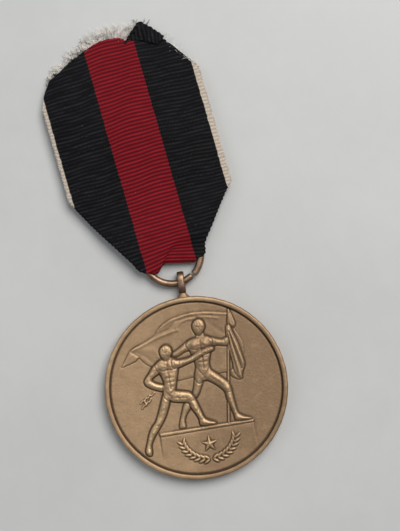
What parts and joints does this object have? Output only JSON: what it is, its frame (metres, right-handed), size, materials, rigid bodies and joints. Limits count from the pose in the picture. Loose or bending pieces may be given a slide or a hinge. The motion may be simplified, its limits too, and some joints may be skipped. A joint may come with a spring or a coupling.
{
  "type": "military service medal",
  "caption": "Round struck bronze medal with figures in relief, hung by an eyelet and a split wire ring from a striped ribbon folded through the ring.",
  "frame": {"origin": "centre of the disc, in the plane of its back rim, which is the table the medal lies on", "axes": "+Z out of the medal's front, +Y from the disc's centre to its eyelet, +X to the right seen from the front"},
  "size_m": [0.0374, 0.0841, 0.0028],
  "materials": {
    "medal_bronze": "satin, toned brown",
    "eyelet_bronze": "satin, toned reddish brown",
    "ring_bronze": "satin, toned reddish brown",
    "ribbon_cloth": "ribbed, in black, crimson and white stripes",
    "ribbon_fray": "loose threads"
  },
  "bodies": {
    "medal": {"medal_disc": "medal_bronze", "suspension_eyelet": "eyelet_bronze"},
    "ring": {"suspension_ring": "ring_bronze"},
    "ribbon_fold": {"ribbon_bight": "ribbon_cloth"},
    "ribbon_fall": {"ribbon_front_leg": "ribbon_cloth", "ribbon_back_leg": "ribbon_cloth", "ribbon_frayed_end": "ribbon_fray", "ribbon_turned_corner": "ribbon_cloth"}
  },
  "joints": [
    {"name": "ring_tilt", "type": "hinge", "parent": "medal", "child": "ring", "pos_m": [0, 0.01924, 0.0014], "axis": [0.9816, 0.1908, 0], "range_deg": [-90, 90]},
    {"name": "ribbon_turn", "type": "hinge", "parent": "ring", "child": "ribbon_fold", "pos_m": [-0.00101, 0.02441, 0.0014], "axis": [0, 0, 1], "range_deg": [-18, 38]},
    {"name": "ribbon_bend", "type": "hinge", "parent": "ribbon_fold", "child": "ribbon_fall", "pos_m": [-0.00202, 0.03184, 0.00076], "axis": [0.9907, 0.1357, 0], "range_deg": [-75, 75]}
  ]
}
